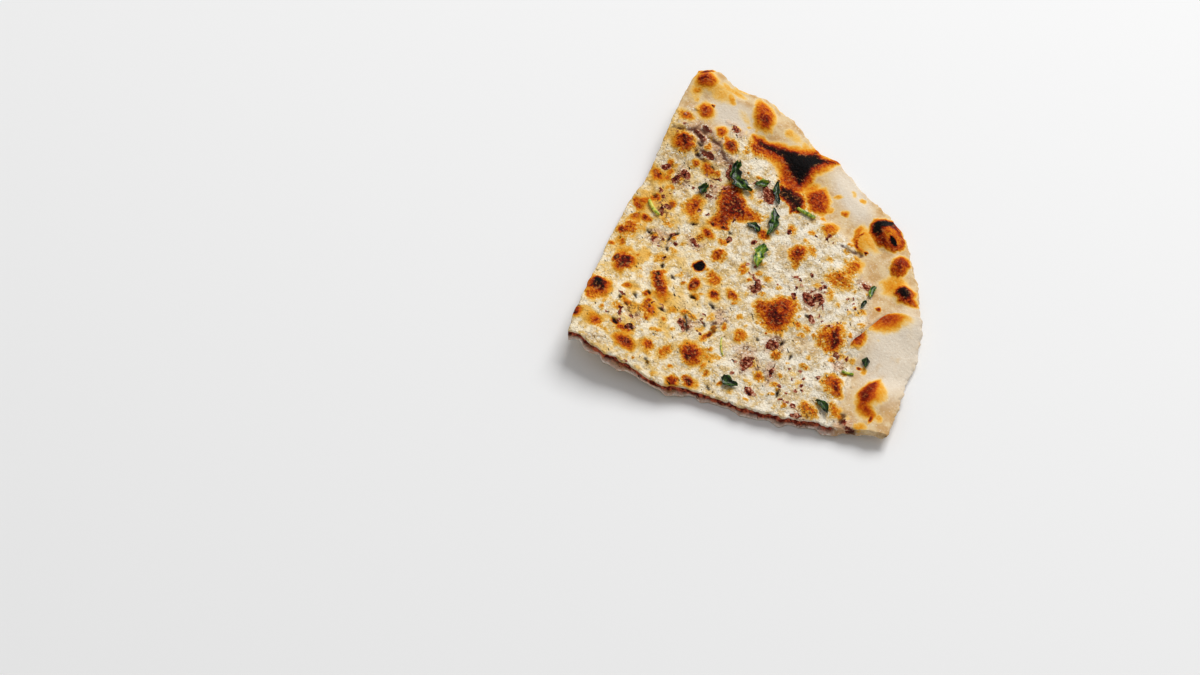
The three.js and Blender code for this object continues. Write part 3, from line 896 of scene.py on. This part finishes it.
def add(tree, kind, inputs=None, stops=None, **settings):
    """Adds a node. An input takes a value, a hex colour or an output; stops fill a colour ramp."""
    made = tree.nodes.new(kind)
    for name, value in settings.items():
        setattr(made, name, value)
    for name, value in (inputs or {}).items():
        if isinstance(value, bpy.types.NodeSocket):
            tree.links.new(value, made.inputs[name])
        else:
            made.inputs[name].default_value = linear(value) if isinstance(value, str) else value
    if stops:
        elements = made.color_ramp.elements
        elements.remove(elements[1])
        for index, (position, colour) in enumerate(stops):
            element = elements.new(position) if index else elements[0]
            element.position = position
            element.color = linear(colour)
    return made


def new_material(name):
    """A material with an empty node tree, and that tree."""
    material = bpy.data.materials.new(name)
    material.use_nodes = True
    material.node_tree.nodes.clear()
    return material, material.node_tree


def stored(tree, *names):
    """The fields of those names, as they are stored on the mesh."""
    return [add(tree, "ShaderNodeAttribute", attribute_name=name).outputs["Fac"] for name in names]


def ramp(tree, factor, stops):
    return add(tree, "ShaderNodeValToRGB", {"Fac": factor}, stops=stops).outputs["Color"]


def calculate(tree, operation, *terms):
    return add(tree, "ShaderNodeMath", dict(enumerate(terms)), operation=operation).outputs[0]


def finish_material(tree, bump, **inputs):
    """Adds the shader that the light meets, with its relief, and the material's output."""
    shader_inputs = {name.replace("_", " "): value for name, value in inputs.items()}
    shader_inputs["Normal"] = add(tree, "ShaderNodeBump", bump).outputs["Normal"]
    surface = add(tree, "ShaderNodeBsdfPrincipled", shader_inputs)
    add(tree, "ShaderNodeOutputMaterial", {"Surface": surface.outputs["BSDF"]})


print("cream in linear light:", [round(c, 3) for c in linear("#ddd2bf")])

# %% [markdown]
# ## Baked dough
#
# Wheat dough that was baked dry on a griddle: matt and pale where it only dried, with a dusting of
# flour, and brown and slightly shiny where fat fried it. The colour comes in layers: pale dough,
# then toasting as a ramp from straw to black, then mince, and dark pores. Fine noise breaks up
# every edge, because the real skin is grainy at about half a millimetre.

# %% Material for the bread
CRUST = [
    (0.07, "#f5dfad"), (0.17, "#eec066"), (0.27, "#e29a26"), (0.37, "#d4710e"), (0.47, "#b84808"),
    (0.57, "#8f2606"), (0.67, "#5c1308"), (0.78, "#240906"), (0.9, "#060303"),
]
CRUST_RANGE = 1.4
MEAT = [(0.42, "#220605"), (0.48, "#702113"), (0.54, "#ab5a3c"), (0.62, "#e3b292")]


def baked_dough():
    material, tree = new_material("baked_wheat_dough")
    where = add(tree, "ShaderNodeTexCoord").outputs["Object"]
    toast, mince, filled, bare, torn = stored(tree, "toast", "mince", "filled", "bare", "torn")
    fold_shade, slit, wrinkled = stored(tree, "fold_shade", "slit", "wrinkled")
    floured, warm, grainy = stored(tree, "floured", "warm", "grainy")

    def noise(millimetres, detail, roughness=0.6, vector=where):
        return add(tree, "ShaderNodeTexNoise", {
            "Vector": vector, "Scale": scale_of(millimetres), "Detail": detail, "Roughness": roughness,
        }).outputs["Fac"]

    def times(first, *others):
        for other in others:
            first = calculate(tree, "MULTIPLY", first, other)
        return first

    def plus(first, second):
        return calculate(tree, "ADD", first, second)

    def minus(first, second):
        return calculate(tree, "SUBTRACT", first, second)

    def step(value, low, high):
        return add(tree, "ShaderNodeMapRange", {
            "Value": value, "From Min": low, "From Max": high,
        }, interpolation_type="SMOOTHSTEP").outputs["Result"]

    def blend(factor, first, second):
        return add(tree, "ShaderNodeMix", {0: factor, 6: first, 7: second},
                   data_type="RGBA").outputs[2]

    blotch, cloud, grain, fine = noise(9, 2), noise(4, 3), noise(1.7, 3, 0.65), noise(0.9, 2, 0.7)

    # Pale dough: tan where it is plain, whiter over the filling, mottled with flour.
    mottled = minus(step(cloud, 0.38, 0.60), 0.6)
    uneven = calculate(tree, "MULTIPLY_ADD", mottled, filled, 0.6)
    plain = blend(step(cloud, 0.35, 0.65), "#cba26c", "#dfc498")
    whitest = blend(filled, "#e9ddca", blend(warm, "#f7edda", "#fdecca"))
    tinted = blend(filled, "#d6c3aa", blend(warm, "#dcc397", "#e8c175"))
    floury = blend(uneven, tinted, whitest)
    pale = blend(times(floured, step(blotch, 0.2, 0.45)), plain, floury)
    pale = blend(times(wrinkled, 0.75), pale, "#cf9f7c")
    specks = times(step(fine, 0.54, 0.68), times(grainy, step(cloud, 0.62, 0.40)))
    pale = blend(times(specks, 0.55), pale, "#b58c55")
    pale = blend(times(step(fine, 0.44, 0.32), grainy), pale, "#fff8e8")

    # Toasting: the stored field, roughened by noise where there is any.
    roughness = plus(times(minus(grain, 0.5), 0.8), times(minus(fine, 0.5), 1.05))
    speckled = times(roughness, step(toast, 0.0, 0.5), times(grainy, step(toast, 1.9, 0.5)))
    golden = times(filled, calculate(tree, "POWER", warm, 2.0), 0.28)
    freckles = times(step(blotch, 0.38, 0.62), golden)
    browned = plus(plus(toast, speckled), freckles)
    crust = ramp(tree, calculate(tree, "DIVIDE", browned, CRUST_RANGE), CRUST)
    colour = blend(step(browned, 0.05, 0.3), pale, crust)
    flecks = times(step(noise(1.3, 2), 0.56, 0.62), step(browned, 0.5, 0.72))
    flecks = times(flecks, times(grainy, step(browned, 1.25, 1.0)))
    colour = blend(times(flecks, 0.45), colour, "#dc9450")

    # Mince: dark and pink meat with paler bits of fat.
    meat = ramp(tree, times(plus(grain, fine), 0.5), MEAT)
    ragged = times(roughness, step(mince, 0.0, 0.3))
    colour = blend(step(plus(mince, ragged), 0.42, 0.60), colour, meat)

    # The cuts: the torn lower skin and the bare filling. Then painted shade in the wrinkles and at the foot
    # of the flap's crest, and the slits.
    colour = blend(torn, colour, blend(step(grain, 0.35, 0.6), "#e6bca8", "#fff4e8"))
    colour = blend(bare, colour, blend(step(grain, 0.42, 0.60), "#5c100b", "#c9603f"))
    # Painted shade in the wrinkles and along the foot of the crest.
    colour = blend(times(fold_shade, 0.9), colour, "#4a2015")
    colour = blend(slit, colour, "#1f0d08")

    # Puckers: thin wavering lines in the skin, close together where it is wrinkled.
    waver = calculate(tree, "ABSOLUTE", minus(noise(3.2, 3), 0.5))
    reach = calculate(tree, "MULTIPLY_ADD", wrinkled, 0.03, 0.014)
    pucker = times(calculate(tree, "LESS_THAN", waver, reach), step(grain, 0.42, 0.56), filled)
    close = plus(wrinkled, 0.35)
    close.node.use_clamp = True
    colour = blend(times(pucker, close, 0.8), colour, "#74462a")

    # Small scattered openings in the skin over the filling.
    stretched = add(tree, "ShaderNodeMapping", {
        "Vector": where, "Rotation": (0, 0, 0.6), "Scale": (1, 3.0, 1),
    }).outputs["Vector"]
    openings = times(step(noise(2.6, 2, 0.5, stretched), 0.69, 0.73), filled)
    colour = blend(openings, colour, "#2e150e")

    relief = times(plus(times(grain, 0.8), times(fine, 0.7)), grainy)
    relief = minus(relief, plus(openings, times(pucker, 0.4)))
    gloss = add(tree, "ShaderNodeMapRange", {
        "Value": browned, "From Min": 0.2, "From Max": 0.9, "To Min": 0.75, "To Max": 0.6,
    }).outputs["Result"]
    bump = {"Height": relief, "Strength": 0.9, "Distance": 0.0011}
    finish_material(tree, bump, Base_Color=colour, Roughness=gloss, IOR=1.45, Specular_IOR_Level=0.07)
    return material


bread_mesh.materials.append(baked_dough())
print("bread material:", bread_mesh.materials[0].name)

# %% [markdown]
# ## Chopped coriander
#
# Fresh coriander was chopped over the bread and wilted in the steam: thin lobed bits of leaf that
# curl and stick to the skin, and short juicy lengths of stem. Each bit gets its shape lying flat
# at the origin, and is then turned to its heading and laid on the bread's upper face.

# %% Sizes of the bits
HERBS = {
    # heading, length, width, bend, lobes, green tone from dark to light green
    "coriander_leaf_1": (-6, 14, 5.2, 3.4, 3, 0.2),
    "coriander_leaf_2": (70, 5, 3, 0.5, 2, 0.45),
    "coriander_leaf_3": (-25, 11, 2.6, 0.8, 2, 0.1),
    "coriander_leaf_4": (-37, 13, 3, -1.5, 3, 0.2),
    "coriander_leaf_5": (25, 6, 2.6, -0.8, 2, 0.25),
    "coriander_leaf_6": (-42, 10.5, 4.8, 0.8, 2, 0.58),
    "coriander_leaf_7": (-60, 5, 3.4, 0.5, 2, 0.12),
    "coriander_leaf_8": (-48, 5.5, 2.2, 0.4, 1, 0.5),
    "coriander_leaf_9": (-60, 3.8, 1.9, 0.3, 1, 0.1),
    "coriander_leaf_10": (-35, 3.8, 2.4, 0.3, 2, 0.05),
    "coriander_leaf_11": (30, 6.5, 3.4, 0.8, 2, 0.15),
    "coriander_leaf_12": (10, 7, 2.6, -0.8, 2, 0.1),
}
STEMS = {
    # heading, length, thickness, bend, green tone
    "coriander_stem_1": (33, 7.8, 1.7, 0.5, 0.75),
    "coriander_stem_2": (3, 8, 1.6, 0.5, 0.95),
    "coriander_stem_3": (58, 4.5, 1.2, 0.4, 0.7),
    "coriander_stem_4": (-22, 8, 0.6, 0.6, 0.85),
}
LEAF_THICKNESS = 0.35
BIT_CLEARANCE = 0.12


def middle_of(node):
    low_corner, high_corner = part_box(node)
    return from_frame((low_corner + high_corner) / 2)


def lay_down(node, mesh, local, heading):
    """Lays a bit on the bread at its node's place; local has its own places in millimetres."""
    turn = math.radians(heading)
    lengthwise = [math.cos(turn), math.sin(turn)]
    sideways = [-math.sin(turn), math.cos(turn)]
    under = local[:, :2] @ np.array([lengthwise, sideways]) + middle_of(node)
    heights = top_height(under) + BIT_CLEARANCE + local[:, 2]
    mesh.vertices.foreach_set("co", to_frame(np.column_stack([under, heights])).ravel())


def herb_object(node, mesh):
    return smooth_object(node.replace("coriander", "herb"), mesh)


def curved(share, bend):
    """How far a bent bit's middle line lies to the side, at shares of its length."""
    return bend * ((2 * share - 1) ** 2 - 0.5)


print("bits of coriander:", len(HERBS) + len(STEMS))

# %% [markdown]
# A leaf's edge swings in and out in lobes, its middle vein lies lower than its two halves, and its
# edges ruffle up. The grid's two shares say where each vertex is along and across the leaf.

# %% Bits of leaf
LEAF_CELLS = (28, 10)
RUFFLE = 0.8
VEIN_DEPTH = 0.7
SIDE_VEINS = 7


def make_leaf(node, heading, length, width, bend, lobes, tone_and_shading, seed):
    grid = gridded_box(*LEAF_CELLS, -1)
    bmesh.ops.recalc_face_normals(grid, faces=grid.faces)
    mesh = as_mesh(grid, node)
    share, side, depth = (read_vertices(mesh) * [1, 2, 1] + [0.5, 0, 0]).T
    outwards = np.abs(side)
    full = np.sin(np.pi * np.clip(share, 0.02, 0.98)) ** 0.6
    own = np.stack([share * length, side * width], axis=1)
    ruffle, lobed = wander(own, 1.5, 90 + seed), wander(own * [1, 0.2], 1.3, 120 + seed)
    lobe = 1 + outwards * (0.2 * np.sin(2 * np.pi * lobes * share + seed) + 0.35 * lobed)
    cupped = 0.25 * side**2 * width + RUFFLE * ruffle * outwards + VEIN_DEPTH
    local = np.stack([
        (share - 0.5) * length + 0.4 * ruffle,
        side * width / 2 * full * lobe + curved(share, bend),
        cupped + LEAF_THICKNESS * depth,
    ], axis=1)
    side_vein = np.abs((share * SIDE_VEINS + outwards * 1.5) % 1 - 0.5) < 0.08
    # The leaf's own green, with painted light where its ruffled edge rises and painted shade where it dips.
    store(mesh, "tone_and_shading", tone_and_shading + 0.35 * ruffle)
    store(mesh, "vein", 1 - ease(outwards / 0.2) + 0.6 * side_vein)
    lay_down(node, mesh, local, heading)
    return herb_object(node, mesh)


leaves = [make_leaf(node, *facts, seed) for seed, (node, facts) in enumerate(HERBS.items())]
print("leaves:", len(leaves))

# %% [markdown]
# A stem is a thin, slightly flattened tube with rounded ends. A cone shape with two equal ends is
# cut into rings, and the rings are moved: narrower at the ends, and bent like the cut stem.

# %% Bits of stem
STEM_SIDES = 12
STEM_RINGS = 14


def make_stem(node, heading, length, thickness, bend, tone_and_shading):
    tube = bmesh.new()
    bmesh.ops.create_cone(tube, cap_ends=True, segments=STEM_SIDES, radius1=1, radius2=1, depth=1)
    cut_upright(tube, STEM_RINGS)
    caps = [face for face in tube.faces if len(face.verts) > 4]
    bmesh.ops.inset_region(tube, faces=caps, thickness=0.35, use_even_offset=True)
    mesh = as_mesh(tube, node)
    sideways, upwards, lengthwise = read_vertices(mesh).T
    share = lengthwise + 0.5
    narrow = 0.75 + 0.25 * np.sin(np.pi * share) ** 0.5
    local = np.stack([
        (share - 0.5) * length,
        sideways * thickness / 2 * narrow + curved(share, bend),
        (upwards + 1) * thickness * 0.4 * narrow,
    ], axis=1)
    store(mesh, "tone_and_shading", np.full(len(share), tone_and_shading))
    store(mesh, "vein", np.zeros(len(share)))
    lay_down(node, mesh, local, heading)
    outside = bmesh.new()
    outside.from_mesh(mesh)
    bmesh.ops.recalc_face_normals(outside, faces=outside.faces)
    outside.to_mesh(mesh)
    outside.free()
    return herb_object(node, mesh)


stems = [make_stem(node, *facts) for node, facts in STEMS.items()]
print("stems:", len(stems))

# %% [markdown]
# ## Wilted coriander
#
# A wilted leaf is thin, wet and a little waxy, with paler veins. Each bit has its own green, from
# dark blue-green to fresh green; on a leaf, painted shade darkens it where its edge dips and painted
# light brightens it where its edge rises. A stem is juicier and yellow-green.

# %% Material for leaves and stems
GREENS = [
    (0.0, "#0b1206"), (0.25, "#1b380f"), (0.5, "#446a16"), (0.75, "#86a024"), (1.0, "#d9cf50"),
]


def wilted_coriander():
    material, tree = new_material("wilted_coriander")
    where = add(tree, "ShaderNodeTexCoord").outputs["Object"]
    tone_and_shading, vein = stored(tree, "tone_and_shading", "vein")
    cells = add(tree, "ShaderNodeTexNoise", {
        "Vector": where, "Scale": scale_of(1.2), "Detail": 3.0, "Roughness": 0.6,
    }).outputs["Fac"]
    # The bit's green with its painted light and shade, mottled at random.
    mottled = calculate(tree, "MULTIPLY_ADD", cells, 1.6, tone_and_shading)
    green = ramp(tree, calculate(tree, "SUBTRACT", mottled, 0.8), GREENS)
    veined = calculate(tree, "MULTIPLY", vein, 0.16)
    colour = add(tree, "ShaderNodeMix", {0: veined, 6: green, 7: "#7fae3c"}, data_type="RGBA")
    bump = {"Height": cells, "Strength": 0.5, "Distance": 0.0002}
    finish_material(tree, bump, Base_Color=colour.outputs[2], Roughness=0.3, IOR=1.42,
                    Specular_IOR_Level=0.4, Subsurface_Weight=0.05, Subsurface_Scale=0.001)
    return material


coriander = wilted_coriander()
for bit in leaves + stems:
    bit.data.materials.append(coriander)
    bpy.context.scene.collection.objects.link(bit)
    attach(bit, "root")
    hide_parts(bit.name.replace("herb", "coriander"))
print("coriander bits in place:", len(leaves + stems))

# %% [markdown]
# ## Floor and light
#
# The bread lies on a plain pale floor. Soft daylight comes from everywhere, and one large lamp
# behind and to the right gives the blisters their shape and the curled tip its shadow. The picture
# uses the Standard view, so that colours stay as they were given.

# %% Floor, lamp and surroundings
FLOOR_SIZE = 4.0
LAMP_SIZE = 1.4
LAMP_DISTANCE = 2.6
LAMP_POWER = 60
LAMP_WAY = Vector((-0.40, 0.55, 0.73)).normalized()
BREAD_MIDDLE = [0, 70, 0]
DAYLIGHT = 0.38

ground = bmesh.new()
bmesh.ops.create_grid(ground, x_segments=1, y_segments=1, size=FLOOR_SIZE / 2)
floor_mesh = as_mesh(ground, "floor")
floor_material = bpy.data.materials.new("pale_floor")
floor_material.use_nodes = True
floor_inputs = floor_material.node_tree.nodes["Principled BSDF"].inputs
floor_inputs["Base Color"].default_value = linear("#f1f1f1")
floor_inputs["Roughness"].default_value = 0.9
floor_mesh.materials.append(floor_material)
floor = bpy.data.objects.new("floor", floor_mesh)
bpy.context.scene.collection.objects.link(floor)

lamp_data = bpy.data.lights.new("lamp", "AREA")
lamp_data.size = LAMP_SIZE
lamp_data.energy = LAMP_POWER
lamp = bpy.data.objects.new("lamp", lamp_data)
lamp.location = Vector(to_frame(BREAD_MIDDLE)) + LAMP_WAY * LAMP_DISTANCE
lamp.rotation_euler = LAMP_WAY.to_track_quat("Z", "Y").to_euler()
bpy.context.scene.collection.objects.link(lamp)

daylight = bpy.data.worlds.new("daylight")
daylight.use_nodes = True
sky_inputs = daylight.node_tree.nodes["Background"].inputs
sky_inputs["Color"].default_value = (1, 1, 1, 1)
sky_inputs["Strength"].default_value = DAYLIGHT
bpy.context.scene.world = daylight
bpy.context.scene.view_settings.view_transform = "Standard"
print("lamp at", [round(value, 2) for value in lamp.location])
